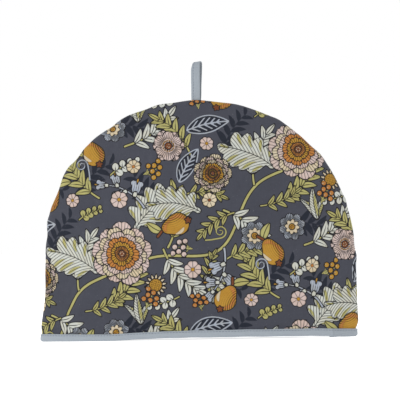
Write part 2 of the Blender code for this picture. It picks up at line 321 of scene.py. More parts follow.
def strokeField(x, y, path, startWidth, endWidth=None):
    # distance to a line through the path's points, less half its width there
    endWidth = startWidth if endWidth is None else endWidth
    path = np.asarray(path, float)
    nearest = np.full(x.shape, 99.0)
    steps = len(path) - 1
    for k in range(steps):
        dx, dy, along = x - path[k, 0], y - path[k, 1], path[k + 1] - path[k]
        t = np.clip((dx * along[0] + dy * along[1]) / (along @ along), 0.0, 1.0)
        width = startWidth + (endWidth - startWidth) * (k + t) / steps
        nearest = np.minimum(nearest, np.hypot(dx - t * along[0], dy - t * along[1]) - 0.5 * width)
    return nearest


def stalkPath(length, curl, steps=14):
    # points along an arc from the origin, heading along x and curling by so many degrees in all
    angle = np.radians(curl) * np.linspace(0.0, 1.0, steps + 1)
    return length / np.radians(curl) * np.stack([np.sin(angle), 1.0 - np.cos(angle)], 1)


def fromStalk(x, y, path, curl, share, lean=0.0):
    # places as seen from a share of the way up a stalk, looking along it and then leaning aside
    at = share * (len(path) - 1)
    low = min(int(at), len(path) - 2)
    root = path[low] + (at - low) * (path[low + 1] - path[low])
    return turned(x - root[0], y - root[1], curl * share + lean)


def softUnion(a, b, blend):
    # both shapes, melted together where their edges are nearer than the blend
    h = np.clip(0.5 + 0.5 * (b - a) / blend, 0.0, 1.0)
    return b + (a - b) * h - blend * h * (1.0 - h)


def folded(x, y, count, phase=0.0, uneven=0.0):
    # the plane folded into one of so many equal sectors about the origin, each a little nearer or farther
    radius, angle = np.hypot(x, y), np.degrees(np.arctan2(y, x)) - phase
    sector = 360.0 / count
    which = np.floor((angle + 0.5 * sector) / sector) % count
    radius = radius * (1.0 + uneven * np.sin(2.4 * which + 0.02 * phase))
    angle = np.radians((angle + 0.5 * sector) % sector - 0.5 * sector)
    return radius * np.cos(angle), radius * np.sin(angle)


def dotRing(x, y, count, reach, radius):
    # so many discs in a ring about the origin
    fx, fy = folded(x, y, count)
    return discField(fx - reach, fy, radius)


def spokes(x, y, count, phase=0.0):
    # crosses zero down the middle of each sector and between the sectors
    radius, angle = np.hypot(x, y), np.arctan2(y, x) - np.radians(phase)
    return radius * np.sin(count * angle) / count


def stripes(value, spacing):
    # crosses zero once in each spacing, as steeply as the value itself
    return spacing / np.pi * np.sin(np.pi * value / spacing)


def sides(pairs):
    # the leaves of so many pairs: which pair, and -1 on the right of the stalk or 1 on its left
    return [(k // 2, 2.0 * (k % 2) - 1.0) for k in range(2 * pairs)]


def sprig(cloth, x, y, colour="olive", curl=35.0, pairs=5):
    # pairs of leaves up a stalk, the largest near its middle, and one at the tip
    length, spread, long, wide, belly = 52.0, 48.0, 15.0, 5.0, 0.42
    path = stalkPath(length, curl)
    cloth.paint("olive", strokeField(x, y, path, 1.7, 0.9))
    for pair, side in sides(pairs):
        share = 0.2 + 0.76 * pair / (pairs - 0.5)
        size = 0.85 * (0.72 + 0.55 * np.sin(np.pi * (0.15 + 0.75 * share)))
        lx, ly = fromStalk(x, y, path, curl, share, side * spread * (1.0 - 0.25 * share))
        field, rib = leafField(lx, ly, long * size, wide * size, belly, bend=-side * 1.1 * size)
        cloth.paint(colour, field, line=rib * (1.0 + 0.5 * np.maximum(lx - 0.5 * long * size, 0.0)))
    lx, ly = fromStalk(x, y, path, curl, 1.0)
    field, rib = leafField(lx + 1.0, ly, 0.85 * long, 0.9 * wide, belly)
    cloth.paint(colour, field, line=rib)


def shadowSprig(cloth, x, y, curl=-40.0, pairs=5):
    # a sprig in shadow alone, with its leaves one after another
    length, spread, long, wide, belly = 60.0, 52.0, 22.0, 7.5, 0.4
    path = stalkPath(length, curl)
    cloth.shadow(strokeField(x, y, path, 1.6, 0.8))
    for k, (_, side) in enumerate(sides(pairs)):
        share = 0.15 + 0.4 * k / (pairs - 0.5)
        size = 1.1 - 0.5 * share
        lx, ly = fromStalk(x, y, path, curl, share, side * spread)
        cloth.shadow(leafField(lx, ly, long * size, wide * size, belly, bend=-side * 1.5)[0])


def roundSprig(cloth, x, y, colour="sage", curl=-30.0, pairs=4):
    # pairs of nearly round leaves
    length, spread, long, wide, belly = 34.0, 62.0, 8.2, 6.6, 0.52
    path = stalkPath(length, curl)
    cloth.paint("olive", strokeField(x, y, path, 1.4, 0.8))
    for pair, side in sides(pairs):
        share = 0.22 + 0.72 * pair / (pairs - 1)
        size = 1.15 - 0.45 * share
        lx, ly = fromStalk(x, y, path, curl, share, side * spread)
        field, rib = leafField(lx, ly, long * size, wide * size, belly, blunt=0.6)
        cloth.paint(colour, field, line=rib * (1.0 + 2.0 * np.maximum(lx - 3.0 * size, 0.0)))


def lobedLeaf(cloth, x, y, curl=30.0, lobes=4):
    # a deeply cut leaf: lobes either side of a curved rib, melted together near it, one edge of each olive
    length, spread, blend, veinGap = 50.0, 62.0, 0.8, 4.6
    path = stalkPath(length, curl)
    body = strokeField(x, y, path, 6.0, 3.5)
    edges = np.full(x.shape, tile["farOff"])
    for pair, side in sides(lobes) + [(lobes, -1.0)]:
        share = 0.10 + 0.80 * pair / lobes
        size = 0.58 + 0.5 * np.sin(np.pi * (0.12 + 0.72 * (1.0 - share)))
        reach = (25.0 if side > 0 else 22.0) * size
        lean = 0.0 if pair == lobes else side * (spread - 20.0 * share)
        lx, ly = fromStalk(x, y, path, curl, share, lean)
        field, rib = leafField(lx, ly, reach, 12.5 * size, 0.62, bend=-side * 3.0, blunt=0.62)
        body = softUnion(body, field, blend)
        strip = leafField(lx - 4.0 * size, rib - side * 3.1 * size, 0.8 * reach, 3.4 * size, 0.6)[0]
        edges = np.minimum(edges, np.maximum(strip, field))
    radius = length / np.radians(curl)
    fromRib = radius - np.hypot(x, y - radius) * np.sign(radius)
    along = radius * np.arctan2(x * np.sign(radius), (radius - y) * np.sign(radius))
    veins = stripes(along - 1.5 * np.abs(fromRib) ** 0.9, veinGap) / 1.6
    fromRib = np.where(body < tile["covered"], fromRib, tile["farOff"] / cloth.size)
    cloth.paint("sage", body, line=fromRib, hatch=veins)
    cloth.tint("olive", np.maximum(edges, body + 0.9))


def longLeaves(cloth, x, y):
    # three long leaves fanned from one root, each with one half olive
    length = 44.0
    for lean, size, sway in ((-34.0, 0.8, 3.0), (30.0, 0.84, -3.5), (-2.0, 1.0, 1.5)):
        lx, ly = turned(x, y, lean)
        field, rib = leafField(lx, ly, length * size, 10.5 * size, 0.42, bend=sway, blunt=0.85)
        cloth.paint("sage", field, line=rib, hatch=stripes(lx - 1.2 * np.abs(rib), 4.2 * size))
        strip = leafField(lx, rib + 2.6 * size, length * size, 4.0 * size, 0.42)[0]
        cloth.tint("olive", np.maximum(strip, field + 0.5))


def lineLeaf(cloth, x, y):
    # a leaf drawn only in line on a shadow: its edge, its rib and a few veins
    length, width, lineHalf, ribHalf, veinLean, veinRoot, veinGap = 46.0, 19.0, 0.7, 0.75, 38.0, 0.12, 0.15
    field, rib = leafField(x, y, length, width, 0.45, bend=2.0, blunt=0.8)
    cloth.shadow(field)
    drawn = np.minimum(np.abs(field) - lineHalf, np.maximum(np.abs(rib) - ribHalf, field))
    for pair, side in sides(5):
        lx, ly = turned(x - (veinRoot + veinGap * pair) * length, rib, side * veinLean)
        vein = np.maximum(np.abs(ly) - lineHalf, -lx)
        drawn = np.minimum(drawn, np.maximum(vein, field + 2.2))
    cloth.paint("paleBlue", drawn, outline=0.25)


def bloom(cloth, x, y, outer="blush", between="cream", inner="orange", heart="gold"):
    # rings of notched petals, each laid on the one before, round a dark eye: colour, petals, phase, and
    # how far out the tips reach, the width and the root as shares of the radius
    radius = 33.0
    rings = (
        (outer, 9, 0.0, 1.00, 0.60, 0.20), (between, 9, 20.0, 0.86, 0.46, 0.18),
        (outer, 8, 5.0, 0.70, 0.44, 0.16), (inner, 8, 28.0, 0.56, 0.34, 0.12),
        (heart, 7, 0.0, 0.40, 0.26, 0.08), (inner, 6, 20.0, 0.25, 0.18, 0.04),
    )
    for colour, count, phase, reach, width, root in rings:
        fx, fy = folded(x, y, count, phase, 0.05)
        long, wide = (reach - root) * radius, width * radius
        petal = leafField(fx - root * radius, fy, long, wide, 0.66, blunt=0.55)[0]
        notch = discField(fx - (reach + 0.035) * radius, fy, 0.075 * radius)
        creases = spokes(x, y, (3 if reach > 0.6 else 2) * count, phase)
        cloth.paint(colour, np.maximum(petal, -notch), hatch=creases)
    cloth.paint("russet", discField(x, y, 0.10 * radius))
    cloth.tint("cream", dotRing(x, y, 6, 0.06 * radius, 0.02 * radius))


def anemone(cloth, x, y):
    # two rows of broad petals round a dark eye with a ring of stamens
    radius, petals = 19.0, 6
    for phase, reach in ((0.0, 1.0), (30.0, 0.9)):
        fx, fy = folded(x, y, petals, phase, 0.06)
        petal = leafField(fx - 0.05 * radius, fy, (reach - 0.05) * radius, 0.66 * radius, 0.66, blunt=0.5)[0]
        creases = spokes(x, y, 3 * petals, phase) + 0.16 * np.maximum(fx - 0.72 * radius, 0.0)
        cloth.paint("blush", petal, hatch=creases)
    cloth.paint("gold", dotRing(x, y, 14, 0.34 * radius, 0.045 * radius), outline=0.3)
    cloth.paint("russet", discField(x, y, 0.2 * radius))
    cloth.tint("cream", dotRing(x, y, 5, 0.1 * radius, 0.035 * radius))


def daisy(cloth, x, y):
    # pale blue petals under short cream ones
    radius, petals = 17.0, 8
    fx, fy = folded(x, y, petals)
    petal = leafField(fx - 0.16 * radius, fy, 0.84 * radius, 0.56 * radius, 0.64, blunt=0.6)[0]
    cloth.paint("paleBlue", petal, hatch=spokes(x, y, 3 * petals))
    fx, fy = folded(x, y, petals, 180.0 / petals)
    cloth.paint("cream", leafField(fx - 0.1 * radius, fy, 0.46 * radius, 0.26 * radius, 0.6, blunt=0.7)[0])
    cloth.paint("gold", discField(x, y, 0.2 * radius))
    cloth.paint("russet", dotRing(x, y, 6, 0.1 * radius, 0.035 * radius), outline=0.1)


def blossom(cloth, x, y, colour="blush", heart="gold"):
    # four broad petals, each parted down its middle
    radius = 9.5
    fx, fy = folded(x, y, 4)
    halves = discField(fx - 0.58 * radius, np.abs(fy) - 0.2 * radius, 0.34 * radius)
    petal = softUnion(halves, leafField(fx, fy, 0.9 * radius, 0.5 * radius, 0.55)[0], 0.8)
    cloth.paint(colour, petal, hatch=spokes(x, y, 4))
    cloth.paint(heart, discField(x, y, 0.2 * radius), outline=0.4)


def pear(cloth, x, y):
    # two discs melted together, with a leaf, a stalk, a shaded side, a shine and a star at the eye
    leaf, rib = leafField(*turned(x - 19.0, y - 2.0, -52.0), 19.0, 8.5, 0.45, bend=1.2)
    cloth.paint("olive", leaf, line=rib)
    cloth.paint("russet", strokeField(x, y, [(13.0, 0.0), (19.0, 1.5), (25.0, 5.0)], 1.8, 2.4))
    body = softUnion(discField(x, y, 11.5), discField(x - 12.0, y, 5.6), 7.0)
    curves = stripes(np.hypot(x - 3.0, y + 22.0), 2.3) * (1.0 + 1.2 * np.maximum(y + 4.0, 0.0))
    cloth.paint("gold", body, hatch=curves)
    cloth.tint("orange", np.maximum(body + 1.2, -discField(x - 2.0, y - 5.5, 12.2)))
    cloth.tint("cream", leafField(*turned(x + 5.0, y - 5.5, 18.0), 13.0, 3.4, 0.4, bend=1.6)[0])
    fx, fy = folded(x + 11.6, y, 5, 180.0)
    cloth.paint("russet", leafField(fx, fy, 3.8, 2.0, 0.5)[0])


def bellSpray(cloth, x, y, curl=55.0, bells=4):
    # pleated bells hung along an arching stalk, smaller towards its tip, each with a tongue and a calyx
    length, spread, pleat = 48.0, 62.0, 2.6
    path = stalkPath(length, curl)
    cloth.paint("paleBlue", strokeField(x, y, path, 1.9, 1.0))
    for k in range(bells):
        share, side = 0.34 + 0.66 * k / (bells - 1), 2.0 * (k % 2) - 1.0
        size = 1.06 - 0.3 * share
        lx, ly = fromStalk(x, y, path, curl, share, side * spread if k < bells - 1 else 0.0)
        lx, ly = lx / size, ly / size
        cup = np.maximum(leafField(lx - 2.0, ly, 20.0, 10.0, 0.42, blunt=0.7)[0], lx - 14.0)
        lips = np.minimum(discField(lx - 14.5, np.abs(ly) - 4.4, 2.6), discField(lx - 15.6, ly, 2.8))
        pleats = stripes(ly, pleat) * (1.0 + np.maximum(np.abs(lx - 8.0) - 3.0, 0.0))
        cloth.paint("paleBlue", softUnion(cup, lips, 2.0) * size, hatch=pleats * size)
        cloth.paint("gold", leafField(lx - 14.0, ly, 6.5, 1.8, 0.7)[0] * size)
        cloth.paint("sage", leafField(lx + 0.5, np.abs(ly) - 0.9, 6.0, 2.4, 0.4)[0] * size)


def berries(cloth, x, y, colour="orange"):
    # round berries with a glint, on thin stalks from one root
    spots = ((10, 0), (14, 5), (15, -5), (19, 1), (8, 7), (9, -7), (20, 8))
    for bx, by in spots:
        stalk = [(0, 0), (0.55 * bx, 0.25 * by), (bx, by)]
        cloth.paint("olive", strokeField(x, y, stalk, 1.0, 0.8), outline=0.35)
    for bx, by in spots:
        cloth.paint(colour, discField(x - bx, y - by, 2.5))
        cloth.tint("cream", discField(x - bx + 0.8, y - by - 0.8, 0.7))


def tendril(cloth, x, y, colour="olive"):
    # a thin stalk that ends in a spiral
    lead, radius, turns = 16.0, 7.0, 1.6
    a = np.linspace(0.0, 1.0, 34)
    angle, r = 2.0 * np.pi * turns * a - np.pi / 2.0, radius * (1.0 - 0.82 * a)
    spiral = np.stack([lead + r * np.cos(angle), radius + r * np.sin(angle)], 1)
    path = np.vstack([[[0.0, -2.0], [0.4 * lead, -1.5]], spiral])
    cloth.paint(colour, strokeField(x, y, path, 1.5, 0.9), outline=0.35)


def seedHead(cloth, x, y):
    # a round, netted seed head on a stalk, with a ruff of narrow bracts
    radius, net = 8.5, 3.0
    cloth.paint("olive", strokeField(x, y, [(-26, -5), (-16, -1), (0, 0)], 1.6, 1.4))
    fx, fy = folded(x, y, 14)
    cloth.paint("cream", leafField(fx - 0.6 * radius, fy, 0.95 * radius, 0.26 * radius, 0.45)[0])
    netted = 2.2 * stripes(x + y, net) * np.sin(np.pi * (x - y) / net)
    cloth.paint("gold", discField(x, y, 0.86 * radius), hatch=netted)


def vine(cloth):
    # one thick stem that sways as it climbs from a repeat to the next, so it never ends
    s, broad, quick, thickness = np.linspace(-0.1, 1.1, 60), 19.0, 5.5, 2.6
    sway = broad * np.sin(2.0 * np.pi * s) + quick * np.sin(4.0 * np.pi * s + 1.0)
    climb = np.array([tile["width"], 0.5 * tile["height"]])
    across = np.array([-climb[1], climb[0]]) / np.hypot(*climb)
    path = s[:, None] * climb + sway[:, None] * across
    dy = cloth.y - np.floor(cloth.x / tile["width"]) * 0.5 * tile["height"]
    dy = (dy + 0.5 * tile["height"]) % tile["height"] - 0.5 * tile["height"]
    cloth.where, cloth.size = np.arange(len(cloth.x)), 1.0
    for shift in (0.0, tile["height"]):
        cloth.paint("olive", strokeField(cloth.x % tile["width"], dy + shift, path, thickness))


# how far each motif reaches from its place
motifReach = {
    sprig: 67.0, shadowSprig: 82.0, roundSprig: 44.0, lobedLeaf: 70.0, longLeaves: 52.8, lineLeaf: 52.9,
    bloom: 41.25, anemone: 23.75, daisy: 20.4, blossom: 11.875, pear: 34.0, bellSpray: 72.0, berries: 24.0,
    tendril: 33.5, seedHead: 42.0,
}
# what lies on a tile, from back to front: a motif and its places, each one's x, y, turn in degrees, size and
# what it changes; the vine has no place, as it runs through every tile
motifTable = (
    (shadowSprig, (4, 123, 60, 1.0), (108, 108, 150, 1.0), (134, 22, 20, 0.9), (168, 168, 80, 0.9),
     (45, 202, 10, 0.9)),
    (vine,),
    (sprig, (9, 25, 100, 1.15, dict(curl=-50, colour="sage")), (34, 7, 20, 1.1, dict(curl=40)),
     (103, 67, -70, 1.15, dict(curl=40, colour="sage")), (108, 69, 60, 1.2, dict(curl=45)),
     (168, 108, -20, 1.15, dict(curl=-45, colour="sage")), (34, 123, 150, 1.15, dict(curl=-45)),
     (63, 179, 15, 1.15, dict(curl=40, colour="sage")), (134, 168, 110, 1.05, dict(curl=40)),
     (168, 54, 35, 0.9, dict(curl=-40)), (125, 125, 20, 0.8, dict(curl=-45, pairs=4)),
     (179, 105, 195, 0.8, dict(pairs=4)), (16, 222, 5, 0.8, dict(curl=30, pairs=4)),
     (150, 25, 100, 0.7, dict(curl=-40, pairs=4))),
    (lobedLeaf, (29, 45, 140, 1.0), (74, 90, 60, 0.95, dict(curl=-35)), (141, 108, 150, 0.9, dict(curl=40))),
    (longLeaves, (146, 38, -40, 0.9), (78, 206, 100, 0.8)),
    (bellSpray, (83, 112, 120, 1.0), (168, 67, -80, 1.0, dict(curl=-50))),
    (roundSprig, (47, 148, 40, 1.0), (119, 16, 210, 1.0)),
    (lineLeaf, (130, 196, 12, 1.0), (121, 139, 60, 0.9)),
    (bloom, (58, 63, 10, 1.0),
     (157, 148, 0, 0.62, dict(outer="cream", between="blush", inner="gold", heart="orange"))),
    (anemone, (110, 179, 0, 0.9)),
    (daisy, (9, 190, 20, 0.9)),
    (pear, (119, 94, 200, 1.0), (29, 170, 120, 1.0), (168, 11, 60, 1.0)),
    (seedHead, (94, 29, 60, 0.9)),
    (berries, (83, 4, 60, 1.0), (134, 67, 170, 1.0, dict(colour="blush"))),
    (blossom, (134, 45, 0, 1.0), (56, 121, 30, 1.0),
     (72, 157, 10, 0.8, dict(colour="cream", heart="orange")), (4, 121, 10, 0.8),
     (153, 119, 20, 0.85, dict(colour="cream", heart="russet"))),
    (berries, (143, 0, 100, 0.9)),
    (tendril, (148, 78, 0, 1.0), (22, 143, 90, 1.0, dict(colour="paleBlue"))),
    (daisy, (50, 199, 15, 0.85)),
    (roundSprig, (11, 100, 40, 0.8, dict(colour="olive"))),
    (berries, (83, 148, 20, 1.0, dict(colour="gold"))),
    (blossom, (151, 181, 40, 0.8)),
)


def layPrint(cloth):
    for motif, *places in motifTable:
        if motif is vine:
            vine(cloth)
        for x, y, turn, size, *changes in places:
            motif(cloth, *cloth.near(x, y, turn, size, motifReach[motif]), **dict(*changes))


inks = dict(
    ground=(75, 77, 88), shadow=(34, 39, 52), ink=(30, 28, 32), olive=(193, 188, 122), sage=(221, 224, 216),
    paleBlue=(186, 194, 208), gold=(198, 150, 57), orange=(202, 135, 67), cream=(228, 213, 184),
    blush=(224, 203, 197), russet=(132, 76, 42),
)
# how the screens print, in millimetres and shares: soft edges, drawn lines and a darker rim inside each
# edge; drift is what the inks are multiplied by where they are thinnest
screens = dict(edge=0.12, shadowEdge=0.30, lineHalf=0.44, lineDark=0.14, hatchHalf=0.26, hatchDark=0.21,
               lineEdge=0.12, rimWidth=1.5, rimDark=0.86, drift=(252, 248, 241))
# how fine each texture of the cloth is, in turns of noise to a metre, the noise that counts as lint or as a
# full load of ink, and how deep the weave is in metres
textures = dict(threadWander=260.0, broadDrift=22.0, fineDrift=210.0, lint=620.0, lintFrom=(0.70, 0.80),
                lintTone=(205, 205, 205), inkLoad=95.0, inkLoadFrom=(0.40, 0.62), bumpDepth=0.0002,
                rougher=0.06, smoother=0.04, specular=0.25, sheenRoughness=0.6)
# the colour of a plain cloth, threads in a metre and how uneven they are, drifts of tone, and lint
fabrics = dict(
    printed=dict(name="printed cotton", rgb=None, threads=1500.0, slub=0.5, drift=0.12, lint=0.10,
                 bump=0.35, roughness=0.84, sheen=0.10),
    inside=dict(name="plain cotton inside", rgb=(176, 178, 180), threads=1300.0, slub=0.7, drift=0.05,
                lint=0.10, bump=0.45, roughness=0.86, sheen=0.12),
    tape=dict(name="grey-blue tape", rgb=(179, 188, 197), threads=2300.0, slub=0.5, drift=0.05, lint=0.05,
              bump=0.35, roughness=0.80, sheen=0.12),
    thread=dict(name="sewing thread", rgb=(122, 131, 150), threads=3800.0, slub=0.3, drift=0.08, lint=0.0,
                bump=0.3, roughness=0.62, sheen=0.10),
)


def newGroup(name, inputs, outputs):
    # a shader node group whose inputs are (name, kind, value) and whose outputs are (name, kind)
    group = bpy.data.node_groups.new(name, "ShaderNodeTree")
    for label, kind, value in inputs:
        socket = group.interface.new_socket(name=label, in_out="INPUT", socket_type="NodeSocket" + kind)
        if value is not None:
            socket.default_value = value
    for label, kind in outputs:
        group.interface.new_socket(name=label, in_out="OUTPUT", socket_type="NodeSocket" + kind)
    return group, group.nodes.new("NodeGroupInput").outputs, group.nodes.new("NodeGroupOutput").inputs


def feed(tree, socket, value):
    # joins an input to a node's output, or sets it to a value
    if isinstance(value, bpy.types.NodeSocket):
        tree.links.new(value, socket)
    else:
        socket.default_value = value


def wired(tree, kind, settings=None, **inputs):
    # adds a node, sets its options and feeds its inputs, which are named or numbered as in1, in2
    node = tree.nodes.new("ShaderNode" + kind)
    for key, value in (settings or {}).items():
        setattr(node, key, value)
    for key, value in inputs.items():
        numbered = key[:2] == "in" and key[2:].isdigit()
        feed(tree, node.inputs[int(key[2:]) if numbered else key], value)
    return node


def maths(tree, operation, first, second=0.0, third=0.5):
    # one operation; most take two values and leave the third at the node's own default
    return wired(tree, "Math", dict(operation=operation), in0=first, in1=second, in2=third).outputs[0]


def vectorMaths(tree, operation, first, second, third=(0.0, 0.0, 0.0)):
    return wired(tree, "VectorMath", dict(operation=operation), in0=first, in1=second, in2=third).outputs[0]


def noise(tree, place, scale, detail):
    return wired(tree, "TexNoise", in0=place, Scale=scale, Detail=detail).outputs


def ranged(tree, value, fromLow, fromHigh, toLow=0.0, toHigh=1.0):
    return wired(tree, "MapRange", dict(clamp=True), in0=value, in1=fromLow, in2=fromHigh,
                 in3=toLow, in4=toHigh).outputs[0]


def mixed(tree, share, first, second, how="MIX"):
    settings = dict(data_type="RGBA", blend_type=how)
    return wired(tree, "Mix", settings, in0=share, in6=first, in7=second).outputs[2]


def greyOf(tree, value):
    return wired(tree, "CombineColor", in0=value, in1=value, in2=value).outputs[0]


def attributeOf(tree, name):
    return wired(tree, "Attribute", dict(attribute_name=name, attribute_type="GEOMETRY")).outputs


def printGroup():
    # lays the inks over the ground: an ink lies where its field is below zero, darker along its rim,
    # with drawn lines where the line and hatch fields cross zero
    inputs = [(name, "Vector", None) for name in printFields]
    inputs += [(name, "Color", tone(*rgb)) for name, rgb in inks.items()]
    group, given, result = newGroup("hand screened inks", inputs, [("Colour", "Color"), ("Ink", "Float")])
    field = {}
    for name, three in printFields.items():
        field.update(zip(three, wired(group, "SeparateXYZ", in0=given[name]).outputs))
    edge, shadowEdge = screens["edge"], screens["shadowEdge"]
    shaded = ranged(group, field["shadow"], shadowEdge, -shadowEdge)
    colour = mixed(group, shaded, given["ground"], given["shadow"])
    inked = ranged(group, field["ink"], edge, -edge)
    colour = mixed(group, inked, colour, given["ink"])
    lines, hatches = (
        ranged(group, maths(group, "ABSOLUTE", field[name]), screens[name + "Half"],
               screens[name + "Half"] + screens["lineEdge"], screens[name + "Dark"], 1.0)
        for name in ("line", "hatch"))
    drawn = maths(group, "MULTIPLY", lines, hatches)
    for name in printColours:
        cover = ranged(group, field[name], edge, -edge)
        rim = ranged(group, field[name], 0.0, -screens["rimWidth"], screens["rimDark"], 1.0)
        shade = greyOf(group, maths(group, "MULTIPLY", rim, drawn))
        colour = mixed(group, cover, colour, mixed(group, 1.0, given[name], shade, "MULTIPLY"))
        inked = maths(group, "MAXIMUM", inked, cover)
    feed(group, result["Colour"], colour)
    feed(group, result["Ink"], inked)
    return group


def weaveGroup():
    # a plain weave in cloth places: height is the product of a warp and a weft wave, with uneven threads
    inputs = [("Place", "Vector", None), ("Threads per metre", "Float", 1400.0), ("Slub", "Float", 0.4)]
    group, given, result = newGroup("plain weave", inputs, [("Height", "Float"), ("Shade", "Float")])
    halfWave, slubShade = 3.14159, 0.16
    place = wired(group, "VectorMath", dict(operation="SCALE"), in0=given["Place"],
                  Scale=given["Threads per metre"]).outputs[0]
    wander = noise(group, given["Place"], textures["threadWander"], 2.0)["Color"]
    ways = vectorMaths(group, "MULTIPLY_ADD", wander, (0.9, 0.9, 0.0), place)
    ways = wired(group, "SeparateXYZ", in0=ways).outputs[:2]
    warp, weft = (maths(group, "SINE", maths(group, "MULTIPLY", way, halfWave)) for way in ways)
    over = maths(group, "MULTIPLY_ADD", maths(group, "MULTIPLY", warp, weft), 0.5, 0.5)
    slubs = (noise(group, vectorMaths(group, "MULTIPLY", place, along), 1.0, 1.0)[0]
             for along in ((0.9, 0.03, 1.0), (0.03, 0.9, 1.0)))
    slub = maths(group, "SUBTRACT", maths(group, "ADD", *slubs), 1.0)
    slub = maths(group, "MULTIPLY", slub, given["Slub"])
    # painted shade where the threads dip under, with random tone from thicker and thinner threads
    shade = ranged(group, over, 0.0, 0.7, 0.90, 1.0)
    shade = maths(group, "ADD", shade, maths(group, "MULTIPLY", slub, slubShade))
    feed(group, result["Height"], maths(group, "ADD", over, slub))
    feed(group, result["Shade"], shade)
    return group


def handledGroup():
    # slow drifts of tone and a few pale specks of lint, from object places in metres
    inputs = [("Place", "Vector", None), ("Drift", "Float", 0.05), ("Lint", "Float", 0.3)]
    group, given, result = newGroup("handled cloth", inputs, [("Tone", "Float"), ("Lint", "Float")])
    broad = noise(group, given["Place"], textures["broadDrift"], 3.0)[0]
    fine = noise(group, given["Place"], textures["fineDrift"], 3.0)[0]
    both = maths(group, "ADD", broad, maths(group, "MULTIPLY", fine, 0.6))
    drift = maths(group, "MULTIPLY", maths(group, "SUBTRACT", both, 0.8), given["Drift"])
    feed(group, result["Tone"], maths(group, "ADD", maths(group, "MULTIPLY", drift, 2.0), 1.0))
    speck = ranged(group, noise(group, given["Place"], textures["lint"], 1.0)[0], *textures["lintFrom"])
    feed(group, result["Lint"], maths(group, "MULTIPLY", speck, given["Lint"]))
    return group


def printedColour(tree, place):
    # the print, whose inks run a little warmer in slow drifts, as screens load unevenly
    inked = wired(tree, "Group", dict(node_tree=printNodes))
    for name in printFields:
        feed(tree, inked.inputs[name], attributeOf(tree, name)["Vector"])
    load = ranged(tree, noise(tree, place, textures["inkLoad"], 1.0)[0], *textures["inkLoadFrom"])
    drift = maths(tree, "MULTIPLY", load, inked.outputs["Ink"])
    return mixed(tree, drift, inked.outputs["Colour"], tone(*screens["drift"]), "MULTIPLY")


def clothMaterial(name, rgb, threads, slub, drift, lint, bump, roughness, sheen):
    # the weave, the handling and the painted shade of the shade attribute over the print or a plain colour
    material = bpy.data.materials.new(name)
    material.use_nodes = True
    tree = material.node_tree
    shader = tree.nodes["Principled BSDF"].inputs
    place = wired(tree, "UVMap", dict(uv_map="clothPlace")).outputs[0]
    body = wired(tree, "TexCoord").outputs["Object"]
    weave = wired(tree, "Group", dict(node_tree=weaveNodes), Place=place, Slub=slub)
    weave.inputs["Threads per metre"].default_value = threads
    handled = wired(tree, "Group", dict(node_tree=handledNodes), Place=body, Drift=drift, Lint=lint).outputs
    colour = tone(*rgb) if rgb else printedColour(tree, place)
    # the weave's painted shade times the handling's drifts of tone
    shade = greyOf(tree, maths(tree, "MULTIPLY", weave.outputs["Shade"], handled["Tone"]))
    # painted shade from each piece's shade attribute
    paintedShade = greyOf(tree, maths(tree, "SUBTRACT", 1.0, attributeOf(tree, "shade")["Fac"]))
    colour = mixed(tree, 1.0, colour, mixed(tree, 1.0, shade, paintedShade, "MULTIPLY"), "MULTIPLY")
    height = weave.outputs["Height"]
    low, high = roughness + textures["rougher"], roughness - textures["smoother"]
    raised = wired(tree, "Bump", in0=bump, Distance=textures["bumpDepth"], Height=height)
    feed(tree, shader["Base Color"], mixed(tree, handled["Lint"], colour, tone(*textures["lintTone"])))
    feed(tree, shader["Normal"], raised.outputs[0])
    feed(tree, shader["Roughness"], ranged(tree, height, 0.0, 1.0, low, high))
    shader["Specular IOR Level"].default_value = textures["specular"]
    shader["Sheen Weight"].default_value = sheen
    shader["Sheen Roughness"].default_value = textures["sheenRoughness"]
    return material


printNodes, weaveNodes, handledNodes = printGroup(), weaveGroup(), handledGroup()
fabric = {kind: clothMaterial(**values) for kind, values in fabrics.items()}
print("finishes made:", ", ".join(fabric))

# the two printed panels: side is -1 at the front, cloth is where on the print a panel is cut, in
# millimetres, and hollows are where the wadding has settled: across, up, width and height as shares of the
# cosy, and depth
frontPanel = dict(name="printed_front", node="front_panel", side=-1, cloth=(142.0, -30.0), seed=0.0, hollows=(
    (-0.58, 0.38, 0.22, 0.30, 0.0018), (-0.20, 0.62, 0.30, 0.14, 0.0015), (0.34, 0.30, 0.18, 0.34, 0.0018),
    (0.60, 0.52, 0.18, 0.22, 0.0014), (0.05, 0.16, 0.34, 0.08, 0.0012), (0.30, 0.80, 0.22, 0.10, 0.0012),
))
backPanel = dict(name="printed_back", node="back_panel", side=1, cloth=(61.0, 40.0), seed=2.1, hollows=(
    (-0.45, 0.50, 0.20, 0.26, 0.0018), (0.10, 0.34, 0.26, 0.20, 0.0017), (0.56, 0.36, 0.20, 0.30, 0.0016),
    (-0.12, 0.76, 0.30, 0.12, 0.0014), (-0.62, 0.22, 0.18, 0.14, 0.0010),
))
panelMesh = dict(columns=340, rollSteps=8, straightRows=70, rows=252, coarse=4, sharpAngle=60.0)
# the creases at the seam and over the hem and the slackness between: depths, how far they run in, their wave
# lengths, and the longer waves that keep them uneven
puckers = dict(
    seamDepth=0.00048, seamReach=0.010, seamWave=0.0165, seamDrift=(0.071, 0.097), seamRadius=0.174,
    hemDepth=0.00042, hemReach=0.0075, hemWave=0.0125, hemDrift=(0.053, 0.083),
    slackDepth=0.0011, slackWaves=(0.046, 0.058, 0.023, 0.031),
)


def rollShares(full):
    # shares of a length at even turns round the rolled seam edge: the roll's reach times 1 less the cosine
    turn = np.linspace(0.0, np.pi / 2, panelMesh["rollSteps"] + 1)
    return cut["rollReach"] / full * (1.0 - np.cos(turn))


def panelColumns():
    # u of each column: close ones round the roll at each seam, the rest evenly spaced
    roll = rollShares(cut["halfWidth"])
    count = panelMesh["columns"] - 2 * panelMesh["rollSteps"] + 1
    middle = np.linspace(roll[-1] - 1.0, 1.0 - roll[-1], count)
    return np.concatenate([roll[:-1] - 1.0, middle, (1.0 - roll[:-1])[::-1]])


